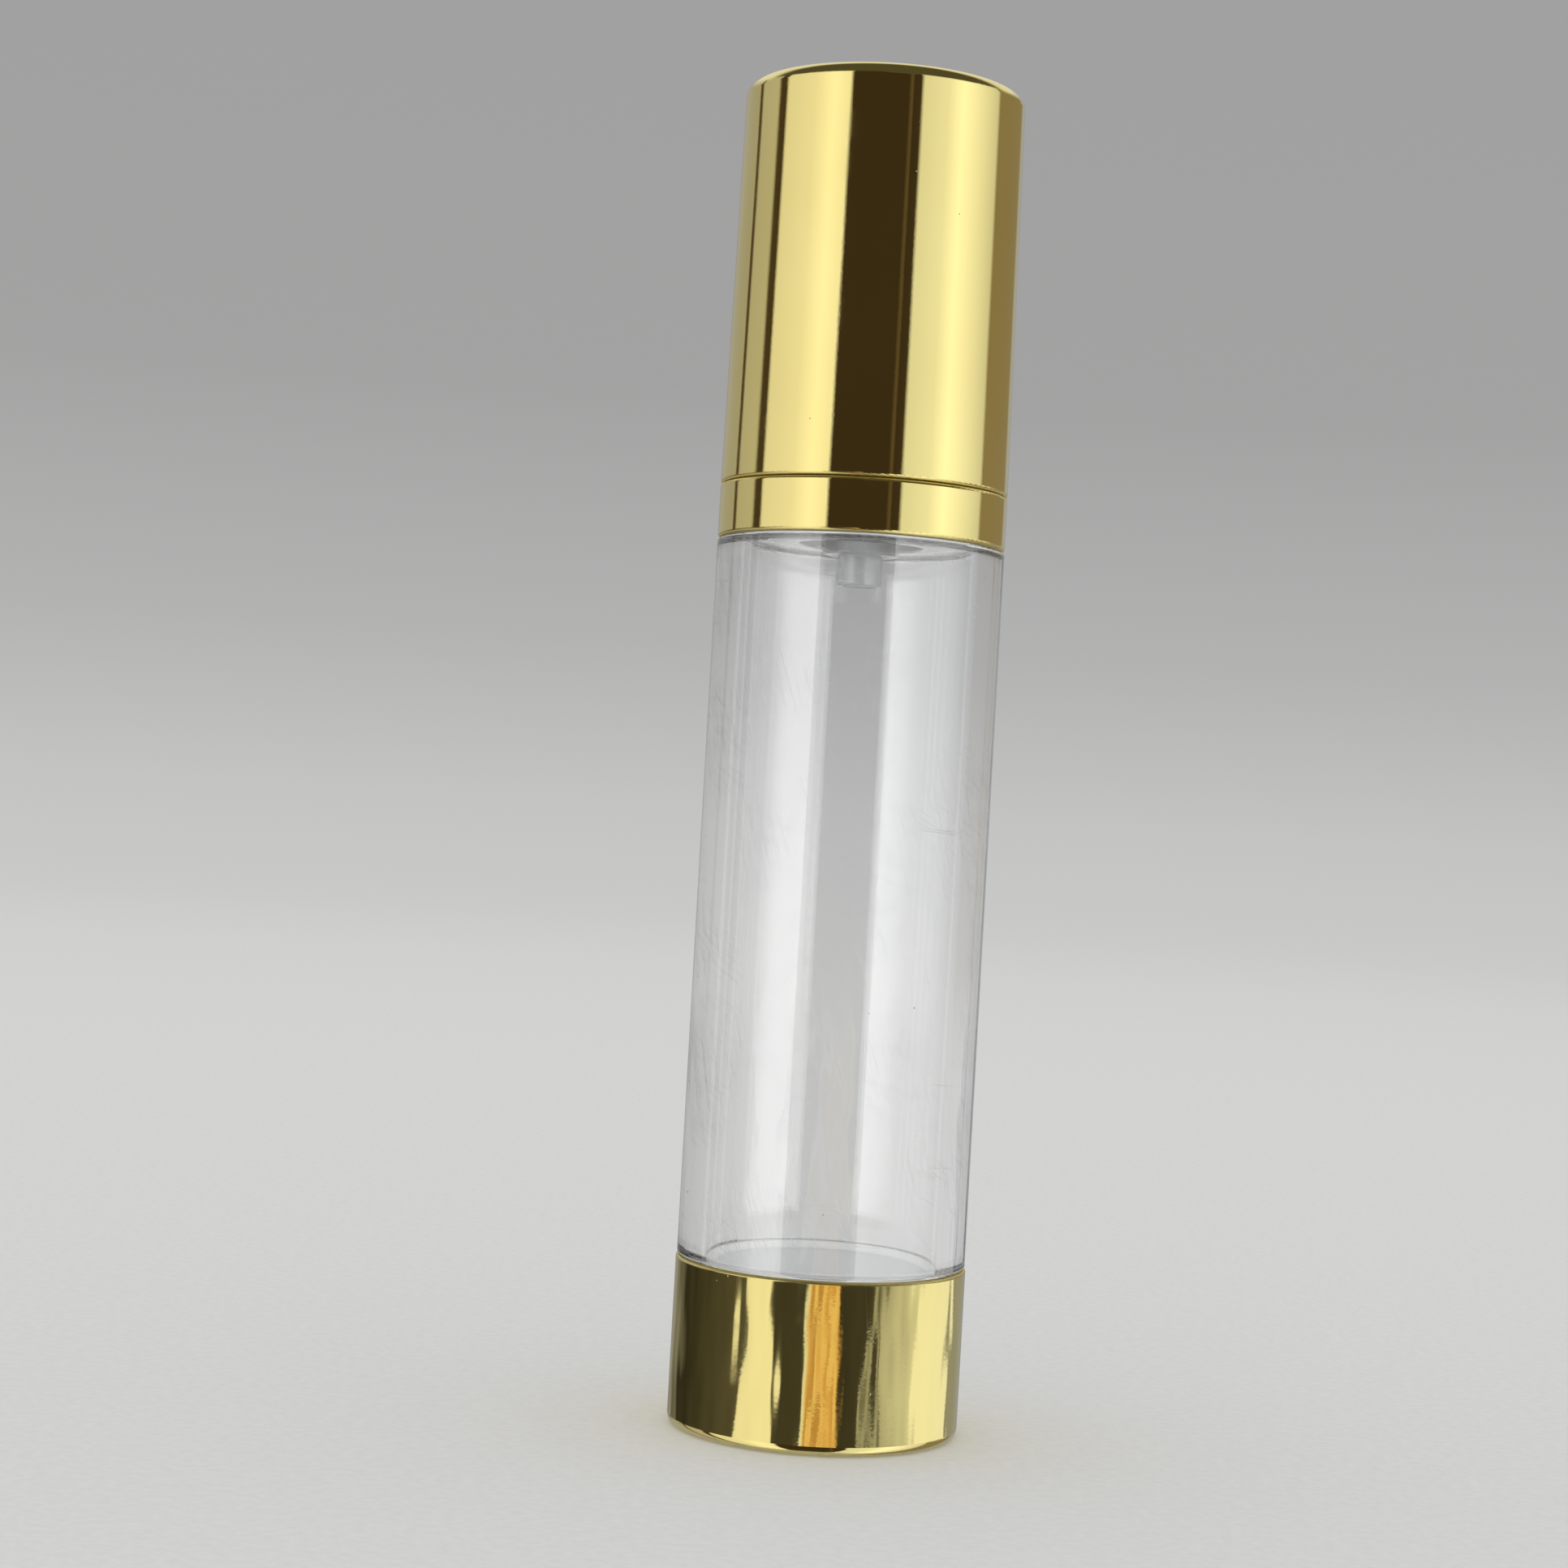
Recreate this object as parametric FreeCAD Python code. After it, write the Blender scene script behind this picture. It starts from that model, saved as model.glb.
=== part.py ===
import FreeCAD, Part
import math
import os

# Airless pump bottle, 30 ml, with a lift-off cap. Millimetres, Z up, foot on Z = 0, nozzle towards -Y.

# Driving sizes of the whole bottle
body_diameter = 29.0
body_wall = 2.85
base_height = 16.8
barrel_length = 72.15
collar_height = 5.5
cap_height = 40.3

# Walls of the pump as shares of the body's radius
stem_bore_share = 0.0655
stem_wall_share = 0.0586
core_head_rim_share = 0.0414
housing_bore_step_share = 0.0517
housing_wall_share = 0.0621

# Lengths of the pump as shares of the cap that hides it
pump_stroke_share = 0.1117
spring_length_share = 0.2234
seal_height_share = 0.0845
turret_height_share = 0.1142
cap_headroom_share = 0.1092

# Base cup
base_proud = 0.1
base_wall = 1.3
base_floor = 1.5
foot_recess = 0.8
foot_width = 2.4
base_edge_round = 1.0
base_rim_round = 0.25
vent_radius = 1.25
base_rib_height = 1.2
base_rib_width = 1.0
base_rib_inset = 1.2
base_rib_end_gap = 0.4
base_rib_count = 4
base_rib_turn = 45

# Fit between base cup and body
base_fit = 0.1
base_rim_gap = 0.05
spigot_end_gap = 0.3
snap_level = 9.0
snap_length = 1.6
snap_bead = 0.22
snap_clearance = 0.08

# Body
body_edge_round = 0.4
bore_lead_in = 0.5
ceiling_drop = 0.25
ceiling_round = 0.5
shoulder_thickness = 2.5
shoulder_round = 0.4
neck_wall = 2.5
neck_round = 0.3
neck_bead = 0.5
neck_bead_length = 0.7
neck_bead_taper = 1.0

# Follower piston
follower_fit = 0.05
follower_show = 0.45
follower_rest_gap = 0.05
follower_floor_drop = 0.75
follower_web = 1.1
follower_lip = 0.55
follower_lip_land = 0.7
follower_lip_flare = 1.9
follower_waist_gap = 0.55
follower_wall = 1.1
follower_lip_slope = 0.35
follower_edge_round = 0.15
follower_floor_round = 0.5
follower_rib_width = 0.8
follower_rib_depth = 5.0
follower_hub_radius = 2.4
follower_rib_count = 6

# Collar
collar_wall = 1.35
collar_fit = 0.1
collar_foot_gap = 0.05
collar_web = 1.6
collar_edge_round = 0.35
seam_gap = 0.08
sleeve_wall = 1.3
sleeve_edge_round = 0.45
sleeve_overlap = 1.2
ledge_thickness = 1.0
ledge_reach = 1.3
ledge_clearance = 0.05

# Closure that snaps on the neck
closure_fit = 0.1
closure_wall = 1.5
closure_top = 1.2
closure_round = 0.35
closure_foot_gap = 0.3
closure_bead_gap = 0.1
hook_height = 1.6
hook_taper = 0.6
hook_clearance = 0.12
hook_level_gap = 0.1
closure_hole_gap = 0.35
closure_slot_width = 1.4
closure_slot_height = 6.5
closure_slot_count = 6

# Neck gasket
gasket_thickness = 0.8
gasket_inset = 0.2

# Pump housing
housing_drop = 0.9
stub_length = 3.1
stub_radius = 2.3
stub_bore_radius = 1.65
stub_round = 0.2
inlet_radius = 0.85
inlet_plate = 0.55
core_head_gap = 0.25
lower_wall = 1.2
bore_taper = 0.8
flange_thickness = 1.2
flange_inset = 0.2
housing_round = 0.3

# Inlet ball and its cage
ball_radius = 1.4
ball_seat_gap = 0.03
ball_side_gap = 0.3
ball_lift = 1.0
nib_reach = 0.55
nib_height = 0.5
nib_width = 0.8
nib_gap = 0.03
nib_count = 3

# Return spring
spring_wire = 0.5
spring_side_gap = 0.25
spring_turns = 7
spring_end_gap = 0.06

# Stem core
core_head_height = 1.2
core_cone_height = 0.55
core_guide_gap = 0.6
core_guide_length = 3.0
core_pin_length = 4.6
core_pin_fit = 0.03
core_pin_rib = 0.6
core_round = 0.2

# Stem
stem_port_radius = 0.45
stem_port_level = 1.1
stem_round = 0.2
stem_top_drop = 3.95
stem_port_turn = 45

# Sliding piston seal
seal_lost_motion = 0.6
seal_fit = 0.04
seal_seat_gap = 0.05
seal_stop_gap = 0.06
seal_lip = 0.5
seal_lip_land = 0.5
seal_waist_gap = 0.45
seal_groove_depth = 1.0
seal_hub_share = 0.6
seal_end_gap = 0.3

# Housing cap that guides the stem
cap_plug_length = 1.6
cap_plug_fit = 0.05
guide_fit = 0.06
guide_wall = 1.1
guide_height = 0.8
cap_flange = 1.0
cap_skirt_wall = 0.7
cap_skirt_length = 2.0
cap_skirt_fit = 0.06
housing_cap_round = 0.25

# Actuator
actuator_gap = 0.35
actuator_wall = 1.1
actuator_top = 1.2
actuator_round = 1.1
actuator_dish = 0.7
actuator_skirt_round = 0.25
press_gap = 0.4
core_fit = 0.05
core_skirt_wall = 0.9
core_skirt_inset = 0.6
core_deck = 1.1
core_deck_drop = 2.6
boss_wall = 1.3
socket_fit = 0.03
socket_end_gap = 0.15
channel_radius = 0.95
core_rib_width = 0.9
core_rib_count = 6

# Spout and nozzle
spout_drop = 5.0
spout_radius = 2.3
spout_window_gap = 0.1
spout_wall_gap = 0.45
spout_channel_radius = 0.75
nozzle_radius = 1.55
nozzle_fit = 0.03
nozzle_depth = 2.4
nozzle_cup_depth = 1.5
nozzle_cup_wall = 0.7
orifice_flare = 0.3
nozzle_proud = 0.15
orifice_radius = 0.45
nozzle_round = 0.15

# Overcap and its liner
cap_draft = 0.4
cap_wall = 1.05
cap_roof = 1.2
cap_edge_round = 1.25
cap_mouth_round = 0.3
cap_inner_round = 0.6
liner_fit = 0.06
liner_wall = 0.7
liner_roof = 0.8
liner_mouth_gap = 0.35
liner_round = 0.5
liner_rib_width = 0.9
liner_rib_length = 12.0
liner_rib_start = 0.8
liner_grip_gap = 0.06
liner_rib_reach = 0.2
liner_rib_count = 6
liner_rib_turn = 30

# Levels of the outside
z_base_rim = base_height
z_barrel_top = z_base_rim + barrel_length
z_seam = z_barrel_top + collar_height
z_cap_top = z_seam + cap_height

# Radii from the outside inwards
body_radius = body_diameter / 2
bore_radius = body_radius - body_wall
base_radius = body_radius + base_proud
base_inner_radius = base_radius - base_wall
spigot_radius = base_inner_radius - base_fit
collar_inner_radius = body_radius - collar_wall
shoulder_radius = collar_inner_radius - collar_fit
cap_inner_radius = body_radius - cap_wall
liner_radius = cap_inner_radius - liner_fit
liner_inner_radius = liner_radius - liner_wall
cap_slope_share = cap_draft / cap_height

# The sleeve fits the ribs of the liner at their upper ends, where the drafted cap is narrowest
rib_run = liner_rib_start + liner_rib_length
liner_rib_radius = liner_inner_radius - cap_slope_share * rib_run - liner_rib_reach
sleeve_radius = liner_rib_radius - liner_grip_gap
sleeve_inner_radius = sleeve_radius - sleeve_wall
closure_radius = sleeve_inner_radius - closure_fit
closure_inner_radius = closure_radius - closure_wall
neck_bead_radius = closure_inner_radius - closure_bead_gap
neck_radius = neck_bead_radius - neck_bead
actuator_radius = sleeve_inner_radius - actuator_gap

# Radii of the pump, from the stem outwards
stem_wall = stem_wall_share * body_radius
stem_bore_radius = stem_bore_share * body_radius
stem_radius = stem_bore_radius + stem_wall
core_head_radius = stem_radius + core_head_rim_share * body_radius
spring_bore_radius = core_head_radius + core_head_gap
spring_coil_radius = spring_bore_radius - spring_side_gap - spring_wire / 2
core_guide_radius = spring_coil_radius - spring_wire / 2 - core_guide_gap
housing_bore_radius = spring_bore_radius + housing_bore_step_share * body_radius
housing_radius = housing_bore_radius + housing_wall_share * body_radius
lower_radius = spring_bore_radius + lower_wall
neck_bore_radius = neck_radius - neck_wall

# Lengths of the pump
pump_stroke = pump_stroke_share * cap_height
spring_length = spring_length_share * cap_height
seal_height = seal_height_share * cap_height
turret_height = turret_height_share * cap_height
cap_headroom = cap_headroom_share * cap_height

# Levels of base and follower
z_floor_top = foot_recess + base_floor
z_body_foot = z_floor_top + spigot_end_gap
z_follower_foot = z_floor_top + base_rib_height + follower_rest_gap
z_follower_rim = z_base_rim + follower_show
z_follower_floor = z_follower_rim - follower_floor_drop

# Levels of the pump, from the inlet up
z_ceiling = z_barrel_top - ceiling_drop
z_shoulder_top = z_ceiling + shoulder_thickness
z_housing_foot = z_ceiling - housing_drop
z_stub_foot = z_housing_foot - stub_length
z_seat = z_housing_foot + inlet_plate
cage_radius = ball_radius + ball_side_gap
seat_height = cage_radius - inlet_radius
z_ball = z_seat - inlet_radius + (ball_radius + ball_seat_gap) * math.sqrt(2)
nib_radius = cage_radius - nib_reach
nib_drop = math.sqrt(ball_radius ** 2 - nib_radius ** 2)
z_nib = z_ball + ball_lift + nib_drop + nib_gap
z_spring_seat = z_nib + nib_height
z_head = z_spring_seat + spring_length + 2 * spring_end_gap
z_cone = z_head + core_head_height
z_stem_foot = z_cone + core_cone_height
z_seal_foot = z_cone + seal_seat_gap
z_seal_top = z_seal_foot + seal_height
z_plug_foot = z_seal_top + seal_stop_gap
z_housing_top = z_plug_foot + cap_plug_length
seal_travel = pump_stroke - seal_lost_motion
z_bore_foot = z_seal_foot - seal_travel - seal_end_gap

# Levels of neck, closure and collar
z_flange_top = z_housing_top - turret_height
z_flange_foot = z_flange_top - flange_thickness
z_neck_top = z_flange_foot - gasket_thickness
z_closure_top = z_flange_top + closure_top
z_closure_foot = z_shoulder_top + closure_foot_gap
z_hook_top = z_closure_foot + hook_height
z_neck_bead = z_hook_top + hook_level_gap
z_collar_foot = z_barrel_top + collar_foot_gap
z_collar_top = z_seam - seam_gap
z_web_foot = z_collar_top - collar_web
z_ledge_foot = z_closure_top + ledge_clearance
z_ledge_top = z_ledge_foot + ledge_thickness

# Levels of the housing cap and the actuator
z_cap_flange_top = z_housing_top + cap_flange
z_guide_top = z_cap_flange_top + guide_height
z_liner_roof = z_cap_top - cap_roof - liner_fit - liner_roof
z_actuator_top = z_liner_roof - cap_headroom
z_actuator_foot = z_ledge_top + pump_stroke + press_gap
z_sleeve_top = z_actuator_foot + sleeve_overlap
z_boss_foot = z_guide_top + pump_stroke + press_gap
z_deck_top = z_actuator_top - core_deck_drop
z_deck_foot = z_deck_top - core_deck
z_spout = z_actuator_top - spout_drop
z_stem_top = z_spout - stem_top_drop
z_socket_top = z_stem_top + socket_end_gap
guide_radius = stem_radius + guide_fit
boss_radius = stem_radius + boss_wall
shell_inner_radius = actuator_radius - actuator_wall
core_radius = shell_inner_radius - core_fit


def at(radius, height):
    return FreeCAD.Vector(radius, 0, height)


def corner_arc(before, corner, after, rounding):
    """Two tangent points and the middle of the arc that rounds one corner of an outline."""
    back = (before - corner).normalize()
    ahead = (after - corner).normalize()
    half = back.getAngle(ahead) / 2
    inward = (back + ahead).normalize()
    run = rounding / math.tan(half)
    centre = corner + inward * (rounding / math.sin(half))
    return corner + back * run, centre - inward * rounding, corner + ahead * run


def outline(corners):
    """Closed wire in the XZ plane; a corner is (radius, height) or (radius, height, rounding)."""
    points = [at(c[0], c[1]) for c in corners]
    count = len(corners)
    stretches = []
    for i in range(count):
        if len(corners[i]) == 3:
            stretches.append(corner_arc(points[i - 1], points[i], points[(i + 1) % count], corners[i][2]))
        else:
            stretches.append((points[i], None, points[i]))
    edges = []
    for i in range(count):
        start, middle, end = stretches[i]
        if middle is not None:
            edges.append(Part.Arc(start, middle, end).toShape())
        following = stretches[(i + 1) % count][0]
        if not end.isEqual(following, 0):
            edges.append(Part.makeLine(end, following))
    return Part.Wire(edges)


def turned(corners):
    face = Part.Face(outline(corners))
    return face.revolve(FreeCAD.Vector(0, 0, 0), FreeCAD.Vector(0, 0, 1), 360)


def ring(inner, outer, low, high):
    return turned([(inner, low), (outer, low), (outer, high), (inner, high)])


def bar(start, end, width, low, high):
    """Radial bar along +X from one radius to another."""
    return Part.makeBox(end - start, width, high - low, FreeCAD.Vector(start, -width / 2, low))


def rod(radius, start, end, height):
    """Round bar along -Y from one distance to another."""
    return Part.makeCylinder(radius, end - start, FreeCAD.Vector(0, -start, height), FreeCAD.Vector(0, -1, 0))


def spread(shape, count, first_turn=0):
    copies = []
    for i in range(count):
        copy = shape.copy()
        copy.rotate(FreeCAD.Vector(0, 0, 0), FreeCAD.Vector(0, 0, 1), first_turn + 360 * i / count)
        copies.append(copy)
    return copies


def joined(shape, others):
    return shape.fuse(others).removeSplitter()


def make_base_cup():
    groove_low = snap_level - snap_clearance
    groove_high = snap_level + snap_length + snap_clearance
    groove_radius = base_inner_radius + snap_bead
    foot_inner_radius = base_radius - base_edge_round - foot_width
    cup = turned([
        (vent_radius, foot_recess),
        (foot_inner_radius, foot_recess),
        (foot_inner_radius, 0, base_rim_round),
        (base_radius, 0, base_edge_round),
        (base_radius, z_base_rim, base_rim_round),
        (base_inner_radius, z_base_rim, base_rim_round),
        (base_inner_radius, groove_high),
        (groove_radius, groove_high - snap_bead),
        (groove_radius, groove_low + snap_bead),
        (base_inner_radius, groove_low),
        (base_inner_radius, z_floor_top, base_rim_round),
        (vent_radius, z_floor_top),
    ])
    rib_end = bore_radius - base_rib_end_gap
    rib = bar(vent_radius + base_rib_inset, rib_end, base_rib_width, foot_recess + base_floor / 2,
              z_floor_top + base_rib_height)
    return joined(cup, spread(rib, base_rib_count, base_rib_turn))


def make_body():
    snap_radius = spigot_radius + snap_bead
    z_step = z_base_rim + base_rim_gap
    z_bead_top = z_neck_bead + neck_bead_length
    return turned([
        (bore_radius + bore_lead_in, z_body_foot),
        (spigot_radius, z_body_foot, body_edge_round),
        (spigot_radius, snap_level),
        (snap_radius, snap_level + snap_bead),
        (snap_radius, snap_level + snap_length - snap_bead),
        (spigot_radius, snap_level + snap_length),
        (spigot_radius, z_step),
        (body_radius, z_step, body_edge_round),
        (body_radius, z_barrel_top, body_edge_round),
        (shoulder_radius, z_barrel_top),
        (shoulder_radius, z_shoulder_top, shoulder_round),
        (neck_radius, z_shoulder_top, shoulder_round),
        (neck_radius, z_neck_bead),
        (neck_bead_radius, z_neck_bead),
        (neck_bead_radius, z_bead_top),
        (neck_radius, z_bead_top + neck_bead_taper),
        (neck_radius, z_neck_top, neck_round),
        (neck_bore_radius, z_neck_top, neck_round),
        (neck_bore_radius, z_ceiling, neck_round),
        (bore_radius, z_ceiling, ceiling_round),
        (bore_radius, z_body_foot + bore_lead_in),
    ])


def make_follower():
    lip_radius = bore_radius - follower_fit
    lip_inner_radius = lip_radius - follower_lip
    waist_radius = lip_radius - follower_waist_gap
    hollow_radius = waist_radius - follower_wall
    z_web_foot_here = z_follower_floor - follower_web
    piston = turned([
        (0, z_follower_floor),
        (0, z_web_foot_here),
        (hollow_radius, z_web_foot_here, follower_floor_round),
        (hollow_radius, z_follower_foot + follower_lip_flare),
        (lip_inner_radius, z_follower_foot),
        (lip_radius, z_follower_foot),
        (lip_radius, z_follower_foot + follower_lip_land),
        (waist_radius, z_follower_foot + follower_lip_flare),
        (waist_radius, z_follower_rim - follower_lip_flare),
        (lip_radius, z_follower_rim - follower_lip_land),
        (lip_radius, z_follower_rim, follower_edge_round),
        (lip_inner_radius, z_follower_rim, follower_edge_round),
        (lip_inner_radius - follower_lip_slope, z_follower_floor, follower_edge_round),
    ])
    rib_reach = hollow_radius + follower_wall / 2
    z_rib_top = z_follower_floor - follower_web / 2
    z_rib_foot = z_web_foot_here - follower_rib_depth
    rib = bar(0, rib_reach, follower_rib_width, z_rib_foot, z_rib_top)
    hub = Part.makeCylinder(follower_hub_radius, z_rib_top - z_rib_foot, at(0, z_rib_foot))
    return joined(piston, [hub] + spread(rib, follower_rib_count))


def make_collar():
    ledge_radius = sleeve_inner_radius - ledge_reach
    return turned([
        (collar_inner_radius, z_collar_foot, collar_edge_round),
        (body_radius, z_collar_foot, collar_edge_round),
        (body_radius, z_collar_top, collar_edge_round),
        (sleeve_radius, z_collar_top, collar_edge_round),
        (sleeve_radius, z_sleeve_top, sleeve_edge_round),
        (sleeve_inner_radius, z_sleeve_top, sleeve_edge_round),
        (sleeve_inner_radius, z_ledge_top),
        (ledge_radius, z_ledge_top),
        (ledge_radius, z_ledge_foot),
        (sleeve_inner_radius, z_ledge_foot),
        (sleeve_inner_radius, z_web_foot),
        (collar_inner_radius, z_web_foot),
    ])


def make_closure():
    hook_radius = neck_radius + hook_clearance
    hole_radius = housing_radius + closure_hole_gap
    shell = turned([
        (hook_radius + hook_taper / 2, z_closure_foot),
        (closure_radius, z_closure_foot, closure_round),
        (closure_radius, z_closure_top, closure_round),
        (hole_radius, z_closure_top, closure_round),
        (hole_radius, z_flange_top),
        (closure_inner_radius, z_flange_top, closure_round),
        (closure_inner_radius, z_hook_top),
        (hook_radius, z_hook_top),
        (hook_radius, z_closure_foot + hook_taper),
    ])
    slot_start = (neck_bore_radius + neck_radius) / 2
    slot_end = closure_radius + closure_wall
    slot_low = z_closure_foot - closure_foot_gap
    slot = bar(slot_start, slot_end, closure_slot_width, slot_low, z_closure_foot + closure_slot_height)
    return shell.cut(spread(slot, closure_slot_count))


def make_gasket():
    return ring(neck_bore_radius + gasket_inset, neck_radius - gasket_inset, z_neck_top, z_flange_foot)


def make_housing():
    flange_radius = neck_radius - flange_inset
    z_upper_foot = z_bore_foot - bore_taper
    shell = turned([
        (stub_bore_radius, z_stub_foot, stub_round),
        (stub_radius, z_stub_foot, stub_round),
        (stub_radius, z_housing_foot, stub_round),
        (lower_radius, z_housing_foot, housing_round),
        (lower_radius, z_upper_foot - bore_taper),
        (housing_radius, z_upper_foot),
        (housing_radius, z_flange_foot, housing_round),
        (flange_radius, z_flange_foot),
        (flange_radius, z_flange_top),
        (housing_radius, z_flange_top),
        (housing_radius, z_housing_top),
        (housing_bore_radius, z_housing_top),
        (housing_bore_radius, z_bore_foot),
        (spring_bore_radius, z_upper_foot),
        (spring_bore_radius, z_spring_seat),
        (cage_radius, z_spring_seat),
        (cage_radius, z_seat + seat_height),
        (inlet_radius, z_seat),
        (inlet_radius, z_housing_foot),
        (stub_bore_radius, z_housing_foot),
    ])
    nib = bar(nib_radius, cage_radius + nib_reach, nib_width, z_nib, z_spring_seat)
    return joined(shell, spread(nib, nib_count))


def make_ball():
    return Part.makeSphere(ball_radius, at(0, z_ball))


def biarc(start, start_way, end, end_way):
    """Two arcs that leave start along start_way and reach end along end_way."""
    across = end - start
    ways = start_way + end_way
    spare = 2 * (1 - start_way.dot(end_way))
    along = across.dot(ways)
    reach = (math.sqrt(along * along + spare * across.dot(across)) - along) / spare
    first_knee = start + start_way * reach
    last_knee = end - end_way * reach
    meeting = (first_knee + last_knee) * 0.5
    return [knee_arc(start, first_knee, meeting), knee_arc(meeting, last_knee, end)]


def knee_arc(start, knee, end):
    """Arc from start to end whose end tangents cross at the knee."""
    middle = (start + end) * 0.5
    rise = knee - middle
    half_chord = (end - start).Length / 2
    half_angle = math.atan2(rise.Length, half_chord)
    top = middle + rise * (half_chord * math.tan(half_angle / 2) / rise.Length)
    return Part.Arc(start, top, end).toShape()


def turn_gap(path):
    """Least distance between points of the path that lie at least half a turn apart."""
    points_per_turn = 24
    points = path.discretize(Number=points_per_turn * spring_turns + 1)
    least = path.BoundBox.DiagonalLength
    for i in range(len(points)):
        for j in range(i + points_per_turn // 2, len(points)):
            least = min(least, points[i].distanceToPoint(points[j]))
    return least


def make_spring():
    half_wire = spring_wire / 2
    z_first = z_spring_seat + spring_end_gap + half_wire
    rise = spring_length - spring_wire
    pitch = rise / spring_turns
    quarter_count = 4 * spring_turns
    places = []
    ways = []
    for i in range(quarter_count + 1):
        angle = i * math.pi / 2
        x = spring_coil_radius * math.cos(angle)
        y = spring_coil_radius * math.sin(angle)
        places.append(FreeCAD.Vector(x, y, z_first + rise * i / quarter_count))
        ways.append(FreeCAD.Vector(-y, x, pitch / (2 * math.pi)).normalize())
    edges = []
    for i in range(quarter_count):
        edges += biarc(places[i], ways[i], places[i + 1], ways[i + 1])
    path = Part.Wire(edges)
    print("spring, least gap between turns", round(turn_gap(path) - spring_wire, 3))
    section = Part.Wire([Part.Circle(places[0], ways[0], half_wire).toShape()])
    return path.makePipeShell([section], True, False)


def make_stem_core():
    z_guide_foot = z_head - core_guide_length
    z_pin_top = z_stem_foot + core_pin_length
    head = turned([
        (0, z_guide_foot),
        (core_guide_radius, z_guide_foot, core_round),
        (core_guide_radius, z_head),
        (core_head_radius, z_head, core_round),
        (core_head_radius, z_cone),
        (stem_radius, z_stem_foot),
        (0, z_stem_foot),
    ])
    pin_radius = stem_bore_radius - core_pin_fit
    pin_start = z_cone
    cross = bar(-stem_radius, stem_radius, core_pin_rib, pin_start, z_pin_top)
    pin = Part.makeCylinder(pin_radius, z_pin_top - pin_start, at(0, pin_start))
    pin = pin.common(cross.fuse(spread(cross, 1, 90)))
    return joined(head, [pin])


def make_stem():
    tube = turned([
        (stem_bore_radius, z_stem_foot),
        (stem_radius, z_stem_foot),
        (stem_radius, z_stem_top, stem_round),
        (stem_bore_radius, z_stem_top, stem_round),
    ])
    port_level = z_stem_foot + stem_port_level
    port = rod(stem_port_radius, -stem_radius * 2, stem_radius * 2, port_level)
    return tube.cut(spread(port, 1, stem_port_turn))


def make_seal():
    lip_radius = housing_bore_radius - seal_fit
    lip_inner_radius = lip_radius - seal_lip
    waist_radius = lip_radius - seal_waist_gap
    slide_radius = stem_radius + seal_fit
    hub_radius = slide_radius + seal_hub_share * (lip_inner_radius - slide_radius)
    seat_radius = core_head_radius + seal_seat_gap
    groove_foot = z_seal_top - seal_groove_depth
    return turned([
        (seat_radius, z_seal_foot),
        (lip_radius, z_seal_foot),
        (lip_radius, z_seal_foot + seal_lip_land),
        (waist_radius, z_seal_foot + seal_lip_land + seal_waist_gap),
        (waist_radius, z_seal_top - seal_lip_land - seal_waist_gap),
        (lip_radius, z_seal_top - seal_lip_land),
        (lip_radius, z_seal_top),
        (lip_inner_radius, z_seal_top),
        (hub_radius, groove_foot),
        (hub_radius, z_seal_top),
        (slide_radius, z_seal_top),
        (slide_radius, z_stem_foot + 2 * seal_seat_gap),
    ])


def make_housing_cap():
    plug_radius = housing_bore_radius - cap_plug_fit
    skirt_inner = housing_radius + cap_skirt_fit
    skirt_radius = skirt_inner + cap_skirt_wall
    z_skirt_foot = z_housing_top - cap_skirt_length
    boss = guide_radius + guide_wall
    return turned([
        (guide_radius, z_plug_foot),
        (plug_radius, z_plug_foot, housing_cap_round),
        (plug_radius, z_housing_top),
        (skirt_inner, z_housing_top),
        (skirt_inner, z_skirt_foot),
        (skirt_radius, z_skirt_foot),
        (skirt_radius, z_cap_flange_top, housing_cap_round),
        (boss, z_cap_flange_top, housing_cap_round),
        (boss, z_guide_top, housing_cap_round),
        (guide_radius, z_guide_top, housing_cap_round),
    ])


def spout_end():
    """How far the spout reaches from the axis, inside the drafted liner."""
    liner_here = liner_inner_radius - cap_slope_share * (z_spout - z_seam)
    return liner_here - spout_wall_gap - nozzle_proud


def make_actuator_core():
    skirt_inner = core_radius - core_skirt_wall
    z_skirt_foot = z_actuator_foot + core_skirt_inset
    boss = turned([
        (stem_radius + socket_fit, z_boss_foot, stem_round),
        (boss_radius, z_boss_foot, stem_round),
        (boss_radius, z_deck_foot),
        (skirt_inner, z_deck_foot),
        (skirt_inner, z_skirt_foot),
        (core_radius, z_skirt_foot),
        (core_radius, z_deck_top, stem_round),
        (0, z_deck_top),
        (0, z_socket_top),
        (stem_radius + socket_fit, z_socket_top),
    ])
    rib = bar(boss_radius - boss_wall / 2, core_radius - core_skirt_wall / 2, core_rib_width,
              z_boss_foot + socket_end_gap, z_deck_top - core_deck / 2)
    reach = spout_end()
    spout = rod(spout_radius, 0, reach, z_spout)
    body = joined(boss, spread(rib, core_rib_count) + [spout])
    bore = Part.makeCylinder(stem_radius + socket_fit, z_socket_top - z_boss_foot, at(0, z_boss_foot))
    riser = Part.makeCylinder(channel_radius, z_spout - z_socket_top + socket_end_gap,
                              at(0, z_socket_top - socket_end_gap))
    channel = rod(spout_channel_radius, 0, reach, z_spout)
    seat = rod(nozzle_radius + nozzle_fit, reach - nozzle_depth, reach, z_spout)
    return body.cut([bore, riser, channel, seat])


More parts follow.
